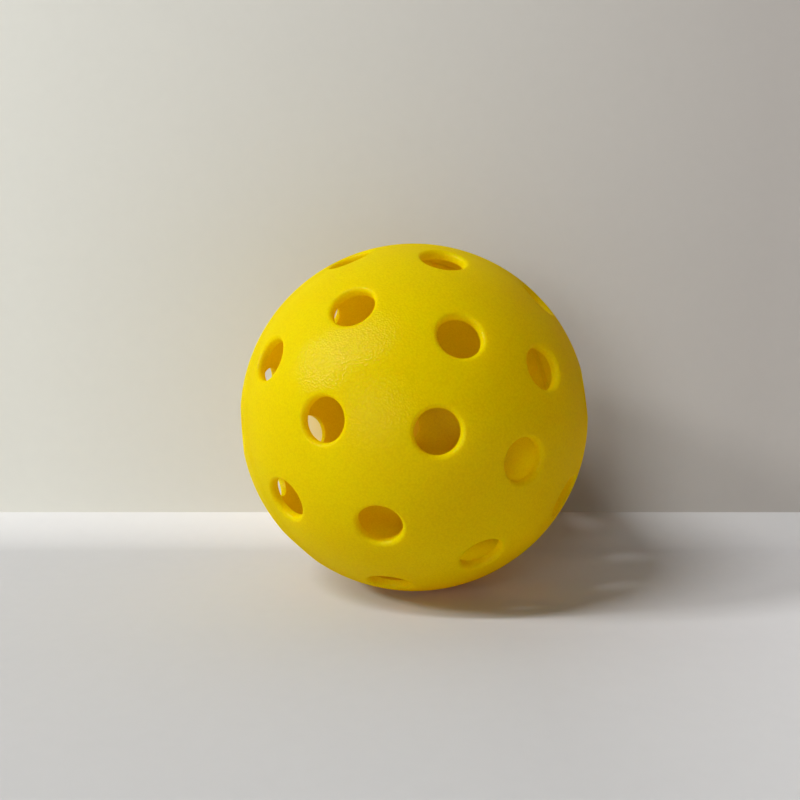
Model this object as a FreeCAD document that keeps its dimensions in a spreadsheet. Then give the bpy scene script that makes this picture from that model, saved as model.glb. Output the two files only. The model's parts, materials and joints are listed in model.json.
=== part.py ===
import FreeCAD, Part
import os

import Sketcher

# Perforated ball for racket sports, moulded in polyethylene: two identical half shells,
# one turned over, butt welded along the equator. All lengths are in millimetres.
#
# Frame: origin at the ball's centre, +Z up. The ball rests on a level surface the way it
# settles by itself, on the rim of one hole, so that hole's axis is the -Z axis.

# Driving dimensions: cell alias, value, meaning. Angles are in degrees.
SIZES = (
    ("ball_diameter", 74.0, "outside diameter of the ball"),
    ("wall_thickness", 1.8, "thickness of the shell"),
    ("hole_diameter", 8.5, "diameter of every hole's straight wall"),
    ("rim_round", 0.85, "radius of the rounded outer edge of a hole"),
    ("pole_ring_holes", 4, "holes in the ring nearest a pole"),
    ("pole_ring_angle", 20.6, "angle from the pole to that ring's hole axes"),
    ("pole_ring_phase", 0.0, "azimuth of that ring's first hole"),
    ("middle_ring_holes", 8, "holes in the middle ring"),
    ("middle_ring_angle", 52.0, "angle from the pole to that ring's hole axes"),
    ("middle_ring_phase", 22.5, "azimuth of that ring's first hole"),
    ("outer_ring_holes", 8, "holes in the ring nearest the equator"),
    ("outer_ring_angle", 77.3, "angle from the pole to that ring's hole axes"),
    ("outer_ring_phase", 0.0, "azimuth of that ring's first hole"),
    ("turnover_azimuth", 32.7, "azimuth of the level axis the second half is turned about"),
    ("weld_width", 1.2, "width of the band that melts and sets again"),
    ("weld_bead", 0.15, "height of the low bead left inside the band"),
    ("heading", -65.3, "turn of the resting ball about the vertical"),
)

RINGS = ("pole_ring", "middle_ring", "outer_ring")
HALF_SHELLS = ("front_half_shell", "rear_half_shell")

# Sketcher numbering: a line's or arc's start, end and centre, and the sketch's own origin
# and vertical axis.
START, END, CENTRE = 1, 2, 3
ORIGIN = (-1, 1)
V_AXIS = -2

# How far a ring of holes may differ from the same number of flat discs of the wall.
CUT_TOLERANCE = 0.05


def make_sheet(doc):
    """The spreadsheet that every size is bound to."""
    sheet = doc.addObject("Spreadsheet::Sheet", "Sizes")
    for row, (alias, value, meaning) in enumerate(SIZES, start=1):
        sheet.set(f"A{row}", alias)
        sheet.set(f"B{row}", str(value))
        sheet.set(f"C{row}", meaning)
        sheet.setAlias(f"B{row}", alias)
    doc.recompute()
    return sheet


def origin_feature(body, role):
    """One of the body's own origin planes or axes."""
    for feature in body.Origin.OriginFeatures:
        if feature.Role == role:
            return feature
    raise ValueError(f"{body.Label} has no origin feature {role}")


def attach(feature, support, turn_axis=None, turn_expression=None):
    """Lay a sketch or datum plane on its support, turned about one of the support's axes."""
    feature.AttachmentSupport = [(support, "")]
    feature.MapMode = "FlatFace"
    if turn_expression is None:
        return
    # A rotation of nothing forgets its axis, so it starts at one degree; the sheet then sets it.
    one_degree = FreeCAD.Rotation(turn_axis, 1)
    feature.AttachmentOffset = FreeCAD.Placement(FreeCAD.Vector(), one_degree)
    feature.setExpression("AttachmentOffset.Rotation.Angle", turn_expression)


def arc(radius, start_point, end_point):
    """An arc about the sketch's origin, anticlockwise between two points given as (x, y)."""
    circle = Part.Circle(FreeCAD.Vector(), FreeCAD.Vector(0, 0, 1), radius)
    start = circle.parameter(FreeCAD.Vector(*start_point, 0))
    end = circle.parameter(FreeCAD.Vector(*end_point, 0))
    return Part.ArcOfCircle(circle, start, end)


def segment(start_point, end_point):
    """A straight sketch line between two points given as (x, y)."""
    return Part.LineSegment(FreeCAD.Vector(*start_point, 0), FreeCAD.Vector(*end_point, 0))


def join_in_loop(sketch, corners):
    """Make each listed pair of end points coincide: ((geometry, point), (geometry, point))."""
    for (first, first_end), (second, second_end) in corners:
        sketch.addConstraint(Sketcher.Constraint("Coincident", first, first_end, second, second_end))


def bind(sketch, name, expression, *constraint):
    """Add a dimension to a sketch under a name and bind it to the sheet."""
    index = sketch.addConstraint(Sketcher.Constraint(*constraint))
    sketch.renameConstraint(index, name)
    sketch.setExpression(f"Constraints.{name}", expression)


def shell_profile(body, sheet):
    """Half of a hemispherical shell's section: two arcs from the pole down to a flat edge."""
    outer_radius = sheet.ball_diameter / 2
    inner_radius = outer_radius - sheet.wall_thickness
    edge_height = sheet.weld_width / 2
    outer_reach = (outer_radius**2 - edge_height**2) ** 0.5
    inner_reach = (inner_radius**2 - edge_height**2) ** 0.5

    sketch = body.newObject("Sketcher::SketchObject", body.Name + "_section")
    attach(sketch, origin_feature(body, "XZ_Plane"))
    outer = sketch.addGeometry(arc(outer_radius, (outer_reach, edge_height), (0, outer_radius)))
    inner = sketch.addGeometry(arc(inner_radius, (inner_reach, edge_height), (0, inner_radius)))
    pole = sketch.addGeometry(segment((0, outer_radius), (0, inner_radius)))
    edge = sketch.addGeometry(segment((inner_reach, edge_height), (outer_reach, edge_height)))
    join_in_loop(
        sketch,
        (
            ((outer, CENTRE), ORIGIN),
            ((inner, CENTRE), ORIGIN),
            ((outer, END), (pole, START)),
            ((pole, END), (inner, END)),
            ((inner, START), (edge, START)),
            ((edge, END), (outer, START)),
        ),
    )
    sketch.addConstraint(Sketcher.Constraint("PointOnObject", pole, START, V_AXIS))
    sketch.addConstraint(Sketcher.Constraint("PointOnObject", pole, END, V_AXIS))
    sketch.addConstraint(Sketcher.Constraint("Horizontal", edge))
    bind(sketch, "outer_radius", "Sizes.ball_diameter / 2", "Radius", outer, outer_radius)
    inner_formula = "Sizes.ball_diameter / 2 - Sizes.wall_thickness"
    bind(sketch, "inner_radius", inner_formula, "Radius", inner, inner_radius)
    lift = ("DistanceY", *ORIGIN, edge, START, edge_height)
    bind(sketch, "edge_height", "Sizes.weld_width / 2", *lift)
    return sketch


def revolve(body, sketch):
    """Turn a profile once around its sketch's vertical axis."""
    solid = body.newObject("PartDesign::Revolution", body.Name + "_turned")
    solid.Profile = sketch
    solid.ReferenceAxis = (sketch, ["V_Axis"])
    solid.Angle = 360
    body.Tip = solid
    return solid


def cut_hole_ring(doc, body, sheet, ring):
    """Cut one ring of radial holes: a round pocket from the centre out, repeated about the pole."""
    meridian = body.newObject("PartDesign::Plane", f"{body.Name}_{ring}_azimuth")
    pole_axis = FreeCAD.Vector(0, 0, 1)
    attach(meridian, origin_feature(body, "XY_Plane"), pole_axis, f"Sizes.{ring}_phase")

    sketch = body.newObject("Sketcher::SketchObject", f"{body.Name}_{ring}_circle")
    level_axis = FreeCAD.Vector(0, 1, 0)
    attach(sketch, meridian, level_axis, f"Sizes.{ring}_angle")
    hole_radius = sheet.hole_diameter / 2
    circle = Part.Circle(FreeCAD.Vector(), FreeCAD.Vector(0, 0, 1), hole_radius)
    hole = sketch.addGeometry(circle)
    join_in_loop(sketch, (((hole, CENTRE), ORIGIN),))
    bind(sketch, "hole_radius", "Sizes.hole_diameter / 2", "Radius", hole, hole_radius)

    pocket = body.newObject("PartDesign::Pocket", f"{body.Name}_{ring}_hole")
    pocket.Profile = sketch
    pocket.Type = "Length"
    pocket.setExpression("Length", "Sizes.ball_diameter")
    pocket.Reversed = True
    doc.recompute()

    pattern = body.newObject("PartDesign::PolarPattern", f"{body.Name}_{ring}")
    pattern.Originals = [pocket]
    pattern.Axis = (origin_feature(body, "Z_Axis"), [""])
    pattern.Angle = 360
    pattern.setExpression("Occurrences", f"Sizes.{ring}_holes")
    body.Tip = pattern
    doc.recompute()
    return pattern


def outer_rim_edges(shape, sheet):
    """Names of the circular edges where the holes break through the ball's outside."""
    outer_radius = sheet.ball_diameter / 2
    hole_radius = sheet.hole_diameter / 2
    rim_distance = (outer_radius**2 - hole_radius**2) ** 0.5
    tolerance = 1e-3
    names = []
    for number, edge in enumerate(shape.Edges, start=1):
        if edge.Degenerated or not isinstance(edge.Curve, Part.Circle):
            continue
        is_hole = abs(edge.Curve.Radius - hole_radius) < tolerance
        is_outside = abs(edge.Curve.Center.Length - rim_distance) < tolerance
        if is_hole and is_outside:
            names.append(f"Edge{number}")
    return names


def round_rims(doc, body, shell, sheet):
    """Round the outer edge of every hole, as the mould leaves it."""
    fillet = body.newObject("PartDesign::Fillet", body.Name + "_rounded_rims")
    fillet.Base = (shell, outer_rim_edges(shell.Shape, sheet))
    fillet.setExpression("Radius", "Sizes.rim_round")
    body.Tip = fillet
    doc.recompute()
    return fillet


def check_cut(label, removed, count, sheet):
    """Each hole has to take about a flat disc of the wall out of the shell."""
    disc = Part.makeCylinder(sheet.hole_diameter / 2, sheet.wall_thickness).Volume
    expected = count * disc
    if abs(removed - expected) > CUT_TOLERANCE * expected:
        raise RuntimeError(f"{label}: {removed:.1f} mm3 cut, about {expected:.1f} expected")


def make_half_shell(doc, sheet, name):
    """One moulded half: a hemispherical shell with three rings of holes, pole towards +Z."""
    body = doc.addObject("PartDesign::Body", name)
    body.Label = name
    shell = revolve(body, shell_profile(body, sheet))
    doc.recompute()
    for ring in RINGS:
        before = shell.Shape.Volume
        shell = cut_hole_ring(doc, body, sheet, ring)
        count = int(sheet.get(ring + "_holes"))
        check_cut(f"{name} {ring}", before - shell.Shape.Volume, count, sheet)
    rounded = round_rims(doc, body, shell, sheet)
    if rounded.Shape.Volume >= shell.Shape.Volume:
        raise RuntimeError(f"{name}: no hole edge was rounded")
    return body


def weld_profile(body, sheet):
    """The weld band's section: flush outside, flat against both halves, a bead inside."""
    outer_radius = sheet.ball_diameter / 2
    inner_radius = outer_radius - sheet.wall_thickness
    half_width = sheet.weld_width / 2
    outer_reach = (outer_radius**2 - half_width**2) ** 0.5
    inner_reach = (inner_radius**2 - half_width**2) ** 0.5
    bead_radius = (half_width**2 + sheet.weld_bead**2) / (2 * sheet.weld_bead)

    sketch = body.newObject("Sketcher::SketchObject", body.Name + "_section")
    attach(sketch, origin_feature(body, "XZ_Plane"))
    outside = arc(outer_radius, (outer_reach, -half_width), (outer_reach, half_width))
    upper_corner = FreeCAD.Vector(inner_reach, half_width, 0)
    bead_crest = FreeCAD.Vector(inner_reach - sheet.weld_bead, 0, 0)
    lower_corner = FreeCAD.Vector(inner_reach, -half_width, 0)
    outer = sketch.addGeometry(outside)
    upper = sketch.addGeometry(segment((outer_reach, half_width), (inner_reach, half_width)))
    bead = sketch.addGeometry(Part.Arc(upper_corner, bead_crest, lower_corner))
    lower = sketch.addGeometry(segment((inner_reach, -half_width), (outer_reach, -half_width)))
    join_in_loop(
        sketch,
        (
            ((outer, CENTRE), ORIGIN),
            ((outer, END), (upper, START)),
            ((upper, END), (bead, START)),
            ((bead, END), (lower, START)),
            ((lower, END), (outer, START)),
        ),
    )
    sketch.addConstraint(Sketcher.Constraint("Horizontal", upper))
    sketch.addConstraint(Sketcher.Constraint("Horizontal", lower))
    bind(sketch, "outer_radius", "Sizes.ball_diameter / 2", "Radius", outer, outer_radius)
    reach_formula = "sqrt((Sizes.ball_diameter / 2 - Sizes.wall_thickness)^2 - (Sizes.weld_width / 2)^2)"
    upper_reach = ("DistanceX", *ORIGIN, upper, END, inner_reach)
    lower_reach = ("DistanceX", *ORIGIN, lower, START, inner_reach)
    bind(sketch, "upper_reach", reach_formula, *upper_reach)
    bind(sketch, "lower_reach", reach_formula, *lower_reach)
    upper_lift = ("DistanceY", *ORIGIN, upper, END, half_width)
    lower_drop = ("DistanceY", lower, START, *ORIGIN, half_width)
    bind(sketch, "upper_lift", "Sizes.weld_width / 2", *upper_lift)
    bind(sketch, "lower_drop", "Sizes.weld_width / 2", *lower_drop)
    bead_formula = "((Sizes.weld_width / 2)^2 + Sizes.weld_bead^2) / (2 * Sizes.weld_bead)"
    bind(sketch, "bead_radius", bead_formula, "Radius", bead, bead_radius)
    return sketch


def make_weld(doc, sheet, name):
    """The band of wall that melts and sets again where the two halves meet."""
    body = doc.addObject("PartDesign::Body", name)
    body.Label = name
    revolve(body, weld_profile(body, sheet))
    doc.recompute()
    return body


def resting_rotation(sheet):
    """The turn that brings the rest hole to -Z and the front pole to its heading.

    The ball rests on the first outer-ring hole of the rear half.
    """
    up = FreeCAD.Vector(0, 0, 1)
    level = FreeCAD.Vector(0, 1, 0)
    rest_hole_azimuth = 2 * sheet.turnover_azimuth - sheet.outer_ring_phase
    bring_rest_hole_round = FreeCAD.Rotation(up, -rest_hole_azimuth)
    lean_rest_hole_down = FreeCAD.Rotation(level, sheet.outer_ring_angle)
    face_heading = FreeCAD.Rotation(up, sheet.heading)
    return face_heading * lean_rest_hole_down * bring_rest_hole_round


def turnover_rotation(sheet):
    """The half turn about a level axis that makes a front half into a rear half."""
    along_x = FreeCAD.Vector(1, 0, 0)
    up = FreeCAD.Vector(0, 0, 1)
    level_axis = FreeCAD.Rotation(up, sheet.turnover_azimuth).multVec(along_x)
    return FreeCAD.Rotation(level_axis, 180)


def check_document(doc):
    """Stop if any object failed or any piece isn't one valid solid."""
    for item in doc.Objects:
        if "Invalid" in item.State or "Error" in item.State:
            raise RuntimeError(f"{item.Label} is {item.State}")
    for piece in doc.findObjects("PartDesign::Body"):
        shape = piece.Shape
        if shape.isNull() or not shape.isValid() or len(shape.Solids) != 1:
            raise RuntimeError(f"{piece.Label} isn't one valid solid")
        print(f"{piece.Label}: {shape.Volume:.1f} mm3, {len(shape.Faces)} faces")


def export_pieces(pieces):
    """Write each piece to its own STEP file, named after its label."""
    os.makedirs("parts", exist_ok=True)
    for piece in pieces:
        piece.Shape.exportStep(f"parts/{piece.Label}.step")


def main():
    doc = FreeCAD.newDocument("PerforatedBall")
    sheet = make_sheet(doc)
    front, rear = [make_half_shell(doc, sheet, name) for name in HALF_SHELLS]
    weld = make_weld(doc, sheet, "equator_weld")

    centre = FreeCAD.Vector()
    resting = resting_rotation(sheet)
    front.Placement = FreeCAD.Placement(centre, resting)
    rear.Placement = FreeCAD.Placement(centre, resting * turnover_rotation(sheet))
    weld.Placement = FreeCAD.Placement(centre, resting)
    doc.recompute()

    check_document(doc)
    export_pieces((front, rear, weld))


main()
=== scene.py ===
import json
import math

import bpy
import numpy as np
from mathutils import Matrix, Vector
from mathutils.geometry import delaunay_2d_cdt


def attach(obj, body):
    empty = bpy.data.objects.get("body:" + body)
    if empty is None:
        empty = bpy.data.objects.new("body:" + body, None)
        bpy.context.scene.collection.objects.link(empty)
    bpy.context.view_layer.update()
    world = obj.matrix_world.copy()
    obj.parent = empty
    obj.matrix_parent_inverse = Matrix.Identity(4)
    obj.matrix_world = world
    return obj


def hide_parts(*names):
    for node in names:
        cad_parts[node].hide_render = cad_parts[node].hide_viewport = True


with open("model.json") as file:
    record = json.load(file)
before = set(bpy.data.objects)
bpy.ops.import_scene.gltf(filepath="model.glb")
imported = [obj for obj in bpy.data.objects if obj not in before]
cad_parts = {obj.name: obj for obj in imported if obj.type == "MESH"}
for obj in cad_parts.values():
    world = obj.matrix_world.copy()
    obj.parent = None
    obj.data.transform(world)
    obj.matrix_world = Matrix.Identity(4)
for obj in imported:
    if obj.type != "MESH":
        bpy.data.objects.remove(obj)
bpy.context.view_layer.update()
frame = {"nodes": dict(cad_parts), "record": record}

# Looks of a welded, perforated polyethylene ball. Lengths are in metres, angles in degrees.

MM = 0.001
UP = Vector((0, 0, 1))
WHITE = (1.0, 1.0, 1.0, 1.0)
BLACK = (0.0, 0.0, 0.0, 1.0)


def mount(name):
    """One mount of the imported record."""
    for entry in frame["record"]["mounts"]:
        if entry["name"] == name:
            return entry
    raise ValueError(f"the record has no mount {name}")


def cad_radii(node):
    """Smallest and largest distance of a CAD node's surface from the ball's centre."""
    distances = [vertex.co.length for vertex in frame["nodes"][node].data.vertices]
    return min(distances), max(distances)


# Sizes taken from the CAD model, and the two that it can't be asked for.
INNER_RADIUS, BALL_RADIUS = cad_radii("front_half_shell")
BEAD_RADIUS = cad_radii("equator_weld")[0]
HOLE_RADIUS = mount("peg_hole")["dims"]["r_mm"] * MM
FLOOR_HEIGHT = mount("rest_rim")["pos_m"][2]
RIM_ROUND = 0.85 * MM
WELD_HALF_WIDTH = 0.6 * MM

# Rings of holes on one half: count, angle from the pole, azimuth of the first hole.
RINGS = (
    (4, 20.6, 0.0),
    (8, 52.0, 22.5),
    (8, 77.3, 0.0),
)

# The rear half is the front one turned over about an axis in the seam. The ball rests on a hole
# of the last ring.
TURNOVER_AZIMUTH = 32.7
REST_RING_ANGLE = RINGS[-1][1]
REST_HOLE_AZIMUTH = 2 * TURNOVER_AZIMUTH
HEADING = -65.3

# Small edge breaks that the CAD model leaves sharp.
INNER_EDGE_ROUND = 0.10 * MM
SEAM_ROUND = 0.03 * MM

# Mesh fineness.
RIM_STEPS = 72
RIM_ROUND_STEPS = 7
INNER_EDGE_STEPS = 3
EQUATOR_STEPS = 432
WELD_CROWN_STEPS = 4
BEAD_STEPS = 8
OUTER_SPACING = 0.55 * MM
INNER_SPACING = 0.95 * MM

# Filler points of a spherical surface: the area that each takes up, as a share of the spacing
# squared, and how far they stay from a hole's rim and from the seam, as shares of the spacing.
# Flattened points closer than SAME_POINT count as one.
FILLER_AREA = 0.866
RIM_CLEARANCE = 0.62
SEAM_CLEARANCE = 0.7
SAME_POINT = 1e-7

# Plastic. DRIFT is the size of its patches of tone, SCATTER how far red, green and blue light
# travel inside it, and THROUGH the share of light that passes each skin of the wall and makes the
# inside glow. NOISE_SPAN is the range that noise mostly keeps to.
YELLOW_LIGHT = (0.91, 0.91, 0.0, 1.0)
YELLOW_DEEP = (0.89, 0.86, 0.0, 1.0)
DRIFT = 14 * MM
GLOW = (1.0, 0.68, 0.0, 1.0)
THROUGH = 0.50
SCATTER = (0.0008, 0.0005, 0.0001)
REFRACTION = 1.5
NOISE_SPAN = (0.3, 0.7)

# The mould's grain: its size, its range of values, how much it darkens its high spots and how
# deep it is for the soft highlight and for the sparkle.
GRAIN = 0.42 * MM
GRAIN_SPAN = (0.1, 0.8)
GRAIN_SHADE = 0.15
SOFT_RELIEF = 0.035 * MM
SPARKLE_RELIEF = 0.06 * MM

# Highlights: a soft one, and over it the sparkle of the grain. The FADE pairs are where they
# start and stop fading, from 0 where the surface faces the viewer to 1 where it is edge on.
HIGHLIGHT_TINT = (0.9, 1.0, 0.25, 1.0)
HIGHLIGHT_LEVEL = 0.06
HIGHLIGHT_FADE = (0.1, 0.95)
ROUGHNESS = (0.36, 0.42)
ROUGHNESS_PATCH = 5 * MM
SPARKLE = 0.16
SPARKLE_FADE = (0.15, 0.75)
SPARKLE_ROUGHNESS = 0.17

# Stage: a floor sheet that curls up against a wall just behind the ball. The FADE pairs are
# where the tone starts and stops changing from left to right; these changes are painted light,
# the floor lighter to the right and the wall darker to the right with painted shade. The last
# colour is painted yellow bounce light from the ball on the wall in its shadow close behind it,
# with the distances from its centre where it starts and stops fading.
STAGE_SIZE = 3.0
WALL_DISTANCE = 0.0395
CURL_RADIUS = 0.028
CURL_ANGLE = 37.0
CURL_STEPS = 10
CURL_START = WALL_DISTANCE - CURL_RADIUS * math.sin(math.radians(CURL_ANGLE))
# The floor's grey, darker on the left and lighter to the right with painted light.
FLOOR_LEFT = (0.60, 0.60, 0.61, 1.0)
FLOOR_RIGHT = (0.90, 0.90, 0.92, 1.0)
FLOOR_PAINTED_LIGHT_FADE = (0.02, 0.13)
# Painted light on the curl of the floor sheet.
CURL_PAINTED_LIGHT = (0.80, 0.795, 0.79, 1.0)
# The wall's off-white, darker to the right with painted shade.
WALL_LEFT = (0.80, 0.795, 0.73, 1.0)
WALL_RIGHT = (0.52, 0.49, 0.455, 1.0)
WALL_PAINTED_SHADE_FADE = (-0.10, 0.09)
# Painted yellow bounce light from the ball, on the wall in its shadow just behind it.
PAINTED_BOUNCE = (1.0, 0.72, 0.02, 1.0)
PAINTED_BOUNCE_CENTRE = (0.0, WALL_DISTANCE, -0.005)
PAINTED_BOUNCE_REACH = (0.012, 0.036)
MOTTLING = 0.03
MOTTLE = 3 * MM

# Light. The key lamp is a strip, and KEY_FROM and KEY_TO are its ends for a height of 1.
KEY_HEIGHT = 2.2
KEY_FROM = Vector((-0.45, -0.48, 1.0))
KEY_TO = Vector((-1.06, -0.48, 1.0))
KEY_WIDTH = 0.12
KEY_POWER = 45.0
SIDE_PLACE = Vector((-2.50, -0.80, 1.60))
SIDE_SIZE = 0.50
SIDE_POWER = 55.0
FRONT_PLACE = Vector((-0.80, -1.60, 0.35))
FRONT_SIZE = 0.60
FRONT_POWER = 8.5
FILL = 0.01
ROOM_SEEN = 0.40
BOUNCES = 16

# Camera. BALL_RIGHT and BALL_DOWN place the ball, in shares of the picture's width.
SENSOR_WIDTH = 36.0
LENS = 40.84
CLIP_START = 0.005
CLIP_END = 20.0
CAMERA_DISTANCE = 5.32 * BALL_RADIUS
CAMERA_ELEVATION = 6.9
BALL_RIGHT = 0.0169
BALL_DOWN = 0.0208


def polar(angle, azimuth):
    """Unit vector at an angle from the pole and an azimuth, both in degrees."""
    angle = math.radians(angle)
    azimuth = math.radians(azimuth)
    return Vector((
        math.sin(angle) * math.cos(azimuth),
        math.sin(angle) * math.sin(azimuth),
        math.cos(angle),
    ))


def rotation(angle, axis):
    """A rotation matrix from degrees."""
    return Matrix.Rotation(math.radians(angle), 4, axis)


def reach_at(radius, height):
    """Distance from the pole's axis of a sphere's surface at a height."""
    return math.sqrt(radius**2 - height**2)


def hole_frames():
    """For every hole of a half: its axis and two directions square to it."""
    frames = []
    for count, angle, phase in RINGS:
        for k in range(count):
            axis = polar(angle, phase + 360 * k / count)
            across = UP.cross(axis).normalized()
            frames.append((axis, across, axis.cross(across)))
    return frames


def lattice(radius, lowest, spacing):
    """Evenly spread directions over a spherical cap above the height lowest."""
    golden_angle = math.pi * (3 - math.sqrt(5))
    area = 2 * math.pi * radius * (radius - lowest)
    count = int(area / (spacing**2 * FILLER_AREA))
    points = []
    for k in range(count):
        height = 1 - (k + 0.5) / count * (1 - lowest / radius)
        reach = math.sqrt(1 - height * height)
        azimuth = golden_angle * k
        points.append(Vector((reach * math.cos(azimuth), reach * math.sin(azimuth), height)))
    return points


def flatten(direction):
    """Stereographic projection from the far pole, which keeps circles round."""
    return Vector((direction.x / (1 + direction.z), direction.y / (1 + direction.z)))


def filler_directions(radius, rims, border, spacing):
    """Evenly spread directions of a cap, clear of its holes' rims and of its border."""
    clearance = RIM_CLEARANCE * spacing / radius
    lowest = border[0].z + SEAM_CLEARANCE * spacing
    axes = [sum(rim, Vector()).normalized() for rim in rims]
    limits = [math.cos(axis.angle(rim[0]) + clearance) for axis, rim in zip(axes, rims)]
    axes = np.array(axes)
    limits = np.array(limits)
    spread = lattice(radius, lowest, spacing)
    return [direction for direction in spread if np.all(axes @ np.array(direction) < limits)]


def fill_sphere(radius, rims, border, spacing):
    """Triangulate a spherical cap between its border and the rims of its holes.

    rims and border are loops of points. Returns the filler points and triangles of indices
    that count the rims' points first, then the border's, then the filler's.
    """
    loops = rims + [border]
    edges = []
    rim_of = {}
    start = 0
    for number, loop in enumerate(loops):
        count = len(loop)
        edges += [(start + k, start + (k + 1) % count) for k in range(count)]
        if loop is not border:
            rim_of.update((start + k, number) for k in range(count))
        start += count

    fixed = [point for loop in loops for point in loop]
    filler = filler_directions(radius, rims, border, spacing)
    flat = [flatten(point.normalized()) for point in fixed + filler]
    verts, _, faces, origins, _, _ = delaunay_2d_cdt(flat, edges, [], 0, SAME_POINT, True)
    if any(len(origin) != 1 for origin in origins) or len(verts) != len(flat):
        raise ValueError("the rims of the holes cross or touch")

    triangles = []
    for face in faces:
        corners = [origins[k][0] for k in face]
        owners = {rim_of.get(corner) for corner in corners}
        spans_a_hole = len(owners) == 1 and None not in owners
        if not spans_a_hole:
            triangles.append(corners)
    return [point * radius for point in filler], triangles


def arc(centre_out, centre_up, radius, start, sweep, steps):
    """Points of an arc in a hole's section, from an angle and through a sweep in radians."""
    points = []
    for k in range(steps + 1):
        angle = start + sweep * k / steps
        points.append((centre_out + radius * math.cos(angle), centre_up + radius * math.sin(angle)))
    return points


def hole_profile():
    """Section of a hole's edge as (distance from the hole's axis, height along it).

    It runs from the crest of the rounded rim on the ball's outside, down the straight wall,
    over a small broken edge, to the inside surface.
    """
    rim_out = HOLE_RADIUS + RIM_ROUND
    rim_up = reach_at(BALL_RADIUS - RIM_ROUND, rim_out)
    crest = math.atan2(rim_up, rim_out)
    edge_out = HOLE_RADIUS + INNER_EDGE_ROUND
    edge_up = reach_at(INNER_RADIUS + INNER_EDGE_ROUND, edge_out)
    landing = math.atan2(edge_up, edge_out)

    rim = arc(rim_out, rim_up, RIM_ROUND, crest, math.pi - crest, RIM_ROUND_STEPS)
    middle = [(HOLE_RADIUS, (rim_up + edge_up) / 2)]
    edge = arc(edge_out, edge_up, INNER_EDGE_ROUND, math.pi, landing, INNER_EDGE_STEPS)
    return rim + middle + edge


def hole_loops(hole_frame):
    """The loops of a hole's edge, from the outside crest to the inside surface."""
    axis, across, along = hole_frame
    loops = []
    for out, height in hole_profile():
        loop = []
        for k in range(RIM_STEPS):
            angle = 2 * math.pi * k / RIM_STEPS
            side = across * math.cos(angle) + along * math.sin(angle)
            loop.append(axis * height + side * out)
        loops.append(loop)
    return loops


def level_loop(reach, height):
    """A level circle of points about the pole."""
    angles = (2 * math.pi * k / EQUATOR_STEPS for k in range(EQUATOR_STEPS))
    return [Vector((reach * math.cos(a), reach * math.sin(a), height)) for a in angles]


class Builder:
    """Collects points and faces, then makes one mesh object of them."""

    def __init__(self):
        self.points = []
        self.faces = []

    def add(self, points):
        """Adds points and gives the index of the first."""
        first = len(self.points)
        self.points += points
        return first

    def band(self, first, second, count):
        """Quads between two closed loops that start at these indices."""
        for k in range(count):
            after = (k + 1) % count
            self.faces.append((first + k, first + after, second + after, second + k))

    def make(self, name, transform):
        """The mesh object, in the row frame."""
        mesh = bpy.data.meshes.new(name)
        mesh.from_pydata([transform @ point for point in self.points], [], self.faces)
        mesh.validate()
        mesh.update()
        mesh.shade_smooth()
        piece = bpy.data.objects.new(name, mesh)
        bpy.context.scene.collection.objects.link(piece)
        return piece


def sphere_patch(builder, radius, rims, border, spacing, outward):
    """Adds the filler of a spherical surface. rims and border are (first index, loop)."""
    loops = [loop for _, loop in rims]
    filler, triangles = fill_sphere(radius, loops, border[1], spacing)
    index = []
    for first, loop in rims + [border]:
        index += range(first, first + len(loop))
    first_filler = builder.add(filler)
    index += range(first_filler, first_filler + len(filler))
    for triangle in triangles:
        corners = tuple(index[k] for k in triangle)
        p, q, r = (builder.points[k] for k in corners)
        faces_out = (q - p).cross(r - p).dot(p) > 0
        builder.faces.append(corners if faces_out == outward else corners[::-1])


def half_shell(name, transform):
    """One moulded half, pole towards local +Z."""
    builder = Builder()
    outer_rims = []
    inner_rims = []
    for hole_frame in hole_frames():
        loops = hole_loops(hole_frame)
        firsts = [builder.add(loop) for loop in loops]
        for upper, lower in zip(firsts, firsts[1:]):
            builder.band(upper, lower, RIM_STEPS)
        outer_rims.append((firsts[0], loops[0]))
        inner_rims.append((firsts[-1], loops[-1]))

    top = WELD_HALF_WIDTH + SEAM_ROUND
    border_loop = level_loop(reach_at(BALL_RADIUS, top), top)
    corner_loop = level_loop(reach_at(BALL_RADIUS - SEAM_ROUND, WELD_HALF_WIDTH), WELD_HALF_WIDTH)
    inner_loop = level_loop(reach_at(INNER_RADIUS, WELD_HALF_WIDTH), WELD_HALF_WIDTH)
    border = builder.add(border_loop)
    corner = builder.add(corner_loop)
    inner = builder.add(inner_loop)
    builder.band(corner, border, EQUATOR_STEPS)
    builder.band(inner, corner, EQUATOR_STEPS)

    sphere_patch(builder, BALL_RADIUS, outer_rims, (border, border_loop), OUTER_SPACING, True)
    sphere_patch(builder, INNER_RADIUS, inner_rims, (inner, inner_loop), INNER_SPACING, False)
    return builder.make(name, transform)


def weld_section():
    """Section of the weld as (reach, height): flush outside, a rounded bead inside."""
    corner_reach = reach_at(BALL_RADIUS - SEAM_ROUND, WELD_HALF_WIDTH)
    crown = WELD_HALF_WIDTH - SEAM_ROUND
    bead_height = reach_at(INNER_RADIUS, WELD_HALF_WIDTH) - BEAD_RADIUS
    bead_round = (WELD_HALF_WIDTH**2 + bead_height**2) / (2 * bead_height)
    bead_centre = BEAD_RADIUS + bead_round
    half_sweep = math.asin(WELD_HALF_WIDTH / bead_round)

    section = [(corner_reach, WELD_HALF_WIDTH)]
    for k in range(WELD_CROWN_STEPS + 1):
        height = crown * (1 - 2 * k / WELD_CROWN_STEPS)
        section.append((reach_at(BALL_RADIUS, height), height))
    section.append((corner_reach, -WELD_HALF_WIDTH))
    for k in range(BEAD_STEPS + 1):
        angle = half_sweep * (2 * k / BEAD_STEPS - 1)
        section.append((bead_centre - bead_round * math.cos(angle), bead_round * math.sin(angle)))
    return section


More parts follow.
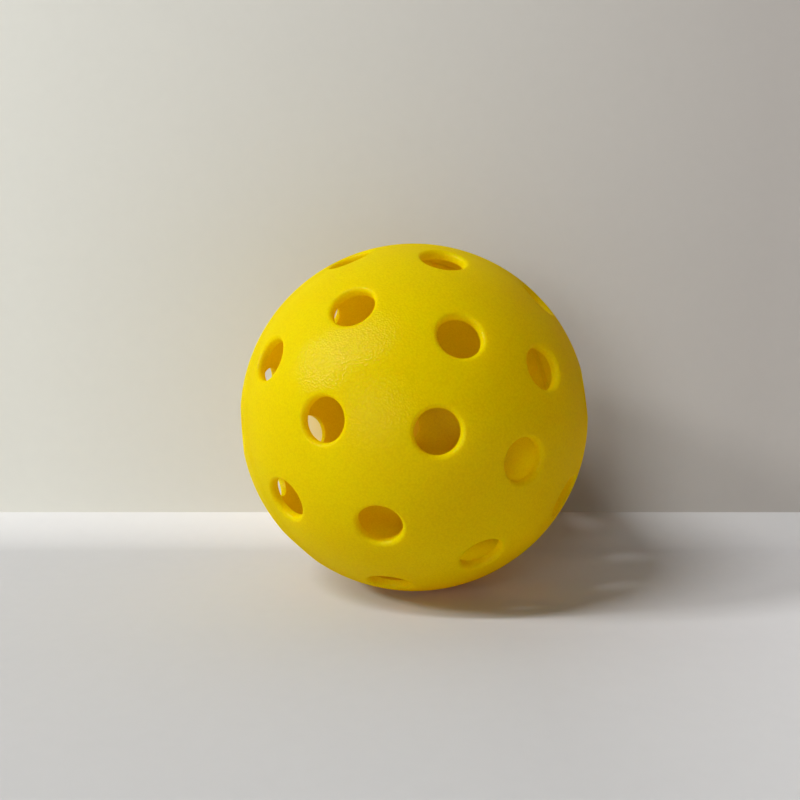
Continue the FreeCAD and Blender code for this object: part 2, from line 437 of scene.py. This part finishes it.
def weld_band(name, transform):
    """The band of set-again plastic between the halves."""
    builder = Builder()
    firsts = [builder.add(level_loop(reach, height)) for reach, height in weld_section()]
    for upper, lower in zip(firsts, firsts[1:] + firsts[:1]):
        builder.band(lower, upper, EQUATOR_STEPS)
    return builder.make(name, transform)


class Nodes:
    """Short calls for building a material's node tree."""

    def __init__(self, material):
        material.use_nodes = True
        self.tree = material.node_tree
        self.tree.nodes.clear()
        self.output = self.tree.nodes.new("ShaderNodeOutputMaterial")

    def add(self, kind, **inputs):
        """A node with its inputs set to values or linked to sockets."""
        node = self.tree.nodes.new(kind)
        for name, value in inputs.items():
            self.put(node.inputs[name.replace("_", " ")], value)
        return node

    def put(self, socket, value):
        """Sets or links one input."""
        if isinstance(value, bpy.types.NodeSocket):
            self.tree.links.new(value, socket)
        else:
            socket.default_value = value

    def place(self):
        """Where a point of the piece is."""
        return self.add("ShaderNodeTexCoord").outputs["Object"]

    def noise(self, place, size, detail):
        """Noise with features of about the given size, from 0 to 1."""
        node = self.add("ShaderNodeTexNoise", Vector=place, Scale=1 / size, Detail=detail)
        return node.outputs["Fac"]

    def grains(self, place, size):
        """Grains of about the given size: how far each point is from its grain's middle."""
        node = self.add("ShaderNodeTexVoronoi", Vector=place, Scale=1 / size)
        return node.outputs["Distance"]

    def remap(self, value, span, to_low, to_high):
        """Straight-line remap of a span of values that stops at both ends."""
        low, high = span
        node = self.add(
            "ShaderNodeMapRange",
            Value=value,
            From_Min=low,
            From_Max=high,
            To_Min=to_low,
            To_Max=to_high,
        )
        return node.outputs["Result"]

    def blend(self, factor, first, second):
        """Mix of two colours."""
        node = self.add("ShaderNodeMix")
        node.data_type = "RGBA"
        self.put(node.inputs["Factor"], factor)
        colours = [socket for socket in node.inputs if socket.type == "RGBA"]
        for socket, colour in zip(colours, (first, second)):
            self.put(socket, colour)
        return [socket for socket in node.outputs if socket.type == "RGBA"][0]

    def mix(self, factor, first, second):
        """Mix of two shader nodes."""
        node = self.add("ShaderNodeMixShader", Fac=factor)
        for socket, shader in zip(node.inputs[1:], (first, second)):
            self.put(socket, shader.outputs["BSDF"])
        return node.outputs["Shader"]

    def bump(self, height, distance):
        """A normal bent by a height."""
        return self.add("ShaderNodeBump", Height=height, Distance=distance).outputs["Normal"]

    def finish(self, shader):
        """Sends a shader to the surface."""
        self.put(self.output.inputs["Surface"], shader)


def plastic_colour(nodes, place, grain):
    """Yellow that drifts slowly in tone and is a little darker on the grain's high spots."""
    drift = nodes.remap(nodes.noise(place, DRIFT, detail=2.0), NOISE_SPAN, 0.0, 1.0)
    shade = nodes.remap(grain, GRAIN_SPAN, 0.0, GRAIN_SHADE)
    return nodes.blend(shade, nodes.blend(drift, YELLOW_DEEP, YELLOW_LIGHT), BLACK)


def moulded_plastic(name):
    """Satin yellow polyethylene: a little translucent, with the fine grain of its mould."""
    material = bpy.data.materials.new(name)
    nodes = Nodes(material)
    place = nodes.place()
    grain = nodes.grains(place, GRAIN)
    relief = nodes.bump(grain, SOFT_RELIEF)
    facing = nodes.add("ShaderNodeLayerWeight", Blend=0.5).outputs["Facing"]
    patches = nodes.noise(place, ROUGHNESS_PATCH, detail=3.0)
    skin = nodes.add(
        "ShaderNodeBsdfPrincipled",
        Base_Color=plastic_colour(nodes, place, grain),
        Roughness=nodes.remap(patches, NOISE_SPAN, *ROUGHNESS),
        Normal=relief,
        IOR=REFRACTION,
        Subsurface_Weight=1.0,
        Subsurface_Radius=SCATTER,
        Subsurface_Scale=1.0,
        Specular_IOR_Level=nodes.remap(facing, HIGHLIGHT_FADE, HIGHLIGHT_LEVEL, 0.0),
        Specular_Tint=HIGHLIGHT_TINT,
        Coat_Weight=nodes.remap(facing, SPARKLE_FADE, SPARKLE, 0.0),
        Coat_Roughness=SPARKLE_ROUGHNESS,
        Coat_Normal=nodes.bump(grain, SPARKLE_RELIEF),
    )
    glow = nodes.add("ShaderNodeBsdfTranslucent", Color=GLOW, Normal=relief)
    nodes.finish(nodes.mix(THROUGH, skin, glow))
    return material


def flat_floor_with_painted_light(nodes, place):
    """Pale grey, darker on the left and lighter to the right with painted light."""
    across = nodes.add("ShaderNodeSeparateXYZ", Vector=place).outputs["X"]
    return nodes.blend(nodes.remap(across, FLOOR_PAINTED_LIGHT_FADE, 0.0, 1.0), FLOOR_LEFT, FLOOR_RIGHT)


def curled_floor_with_painted_light(nodes, place):
    """The floor's grey, with a band of painted light where the sheet curls up."""
    depth = nodes.add("ShaderNodeSeparateXYZ", Vector=place).outputs["Y"]
    curled = nodes.remap(depth, (CURL_START, WALL_DISTANCE), 0.0, 1.0)
    return nodes.blend(curled, flat_floor_with_painted_light(nodes, place), CURL_PAINTED_LIGHT)


def wall_with_painted_light_and_shade(nodes, place):
    """Off-white, darker to the right with painted shade. Seen directly, it carries painted yellow
    bounce light from the ball close behind the ball.
    """
    across = nodes.add("ShaderNodeSeparateXYZ", Vector=place).outputs["X"]
    # Painted shade: the wall darker to the right.
    plain = nodes.blend(nodes.remap(across, WALL_PAINTED_SHADE_FADE, 0.0, 1.0), WALL_LEFT, WALL_RIGHT)
    apart = nodes.add("ShaderNodeVectorMath")
    apart.operation = "DISTANCE"
    nodes.put(apart.inputs[0], place)
    nodes.put(apart.inputs[1], PAINTED_BOUNCE_CENTRE)
    seen = nodes.add("ShaderNodeLightPath").outputs["Is Camera Ray"]
    # Painted yellow bounce light from the ball, seen only by camera rays.
    painted_bounce = nodes.remap(apart.outputs["Value"], PAINTED_BOUNCE_REACH, seen, 0.0)
    return nodes.blend(painted_bounce, plain, PAINTED_BOUNCE)


def matt_sheet(name, tone):
    """Plain backdrop: matt in front, not seen from behind, with faint mottling over its tone."""
    material = bpy.data.materials.new(name)
    nodes = Nodes(material)
    place = nodes.place()
    mottle = nodes.remap(nodes.noise(place, MOTTLE, detail=3.0), (0.0, 1.0), 0.0, MOTTLING)
    matt = nodes.add("ShaderNodeBsdfDiffuse", Color=nodes.blend(mottle, tone(nodes, place), BLACK))
    clear = nodes.add("ShaderNodeBsdfTransparent")
    behind = nodes.add("ShaderNodeNewGeometry").outputs["Backfacing"]
    nodes.finish(nodes.mix(behind, matt, clear))
    return material


def sheet(name, section, tone):
    """A wide sheet with the given section of (depth, height above the floor)."""
    points = []
    for depth, height in section:
        points.append((-STAGE_SIZE, depth, height + FLOOR_HEIGHT))
        points.append((STAGE_SIZE, depth, height + FLOOR_HEIGHT))
    strips = range(0, len(points) - 2, 2)
    faces = [(k, k + 1, k + 3, k + 2) for k in strips]
    mesh = bpy.data.meshes.new(name)
    mesh.from_pydata(points, [], faces)
    mesh.shade_smooth()
    mesh.materials.append(matt_sheet(name, tone))
    piece = bpy.data.objects.new(name, mesh)
    bpy.context.scene.collection.objects.link(piece)


def backdrop():
    """The curled floor, the wall behind the ball, and more floor for views from behind."""
    curled_floor = [(-STAGE_SIZE, 0.0)]
    for k in range(CURL_STEPS + 1):
        angle = math.radians(CURL_ANGLE * k / CURL_STEPS)
        depth = CURL_START + CURL_RADIUS * math.sin(angle)
        curled_floor.append((depth, CURL_RADIUS * (1 - math.cos(angle))))
    wall = [(WALL_DISTANCE, 0.0), (WALL_DISTANCE, STAGE_SIZE)]
    rear_floor = [(CURL_START, 0.0), (STAGE_SIZE, 0.0)]
    sheet("backdrop_floor", curled_floor, curled_floor_with_painted_light)
    sheet("backdrop_wall", wall, wall_with_painted_light_and_shade)
    sheet("backdrop_rear_floor", rear_floor, flat_floor_with_painted_light)


def strip_lamp(name, start, end, width, power):
    """A long lamp between two points, turned towards the ball."""
    data = bpy.data.lights.new(name, "AREA")
    data.shape = "RECTANGLE"
    data.size = (end - start).length
    data.size_y = width
    data.energy = power
    along = (end - start).normalized()
    middle = (start + end) / 2
    outward = middle.normalized()
    outward = (outward - along * outward.dot(along)).normalized()
    turned = Matrix((along, outward.cross(along), outward)).transposed().to_4x4()
    lamp = bpy.data.objects.new(name, data)
    lamp.matrix_world = Matrix.Translation(middle) @ turned
    bpy.context.scene.collection.objects.link(lamp)


def square_lamp(name, place, size, power):
    """A square lamp turned towards the ball."""
    half = UP * size / 2
    strip_lamp(name, place - half, place + half, size, power)


def room_light():
    """Faint even fill from all round, which the camera sees as a plain pale room."""
    world = bpy.data.worlds.new("room")
    bpy.context.scene.world = world
    world.use_nodes = True
    tree = world.node_tree
    background = tree.nodes["Background"]
    background.inputs["Color"].default_value = WHITE
    path = tree.nodes.new("ShaderNodeLightPath")
    level = tree.nodes.new("ShaderNodeMapRange")
    level.inputs["To Min"].default_value = FILL
    level.inputs["To Max"].default_value = ROOM_SEEN
    tree.links.new(path.outputs["Is Camera Ray"], level.inputs["Value"])
    tree.links.new(level.outputs["Result"], background.inputs["Strength"])


def lighting():
    """A strip high on the left, a lower lamp on the left, a weak one in front and faint fill."""
    strip_lamp("key", KEY_FROM * KEY_HEIGHT, KEY_TO * KEY_HEIGHT, KEY_WIDTH, KEY_POWER)
    square_lamp("side", SIDE_PLACE, SIDE_SIZE, SIDE_POWER)
    square_lamp("front", FRONT_PLACE, FRONT_SIZE, FRONT_POWER)
    room_light()
    cycles = bpy.context.scene.cycles
    cycles.max_bounces = BOUNCES
    cycles.diffuse_bounces = BOUNCES
    cycles.transmission_bounces = BOUNCES


def camera():
    """The viewer's place: almost level with the ball, a little above it."""
    data = bpy.data.cameras.new("camera")
    data.sensor_width = SENSOR_WIDTH
    data.lens = LENS
    data.clip_start = CLIP_START
    data.clip_end = CLIP_END
    view = bpy.data.objects.new("camera", data)
    bpy.context.scene.collection.objects.link(view)
    turned = rotation(90 - CAMERA_ELEVATION, "X")
    frame_width = SENSOR_WIDTH / LENS
    ball_from_camera = Vector((BALL_RIGHT * frame_width, -BALL_DOWN * frame_width, -1.0))
    ball_from_camera = ball_from_camera.normalized() * CAMERA_DISTANCE
    view.matrix_world = Matrix.Translation(-(turned @ ball_from_camera)) @ turned
    bpy.context.scene.camera = view


def ball():
    """Both half shells and their weld, each in place of its CAD node."""
    resting = (
        rotation(HEADING, "Z")
        @ rotation(REST_RING_ANGLE, "Y")
        @ rotation(-REST_HOLE_AZIMUTH, "Z")
    )
    turned_over = resting @ rotation(180, polar(90, TURNOVER_AZIMUTH))
    plastic = moulded_plastic("yellow_polyethylene")
    for piece, node, slot in (
        (half_shell("front_half", resting), "front_half_shell", "shell_plastic"),
        (half_shell("rear_half", turned_over), "rear_half_shell", "shell_plastic"),
        (weld_band("weld_band", resting), "equator_weld", "weld_plastic"),
    ):
        piece.data.materials.append(plastic)
        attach(piece, "root")
        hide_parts(node)


ball()
backdrop()
lighting()
camera()
bpy.context.scene.view_settings.view_transform = "Standard"
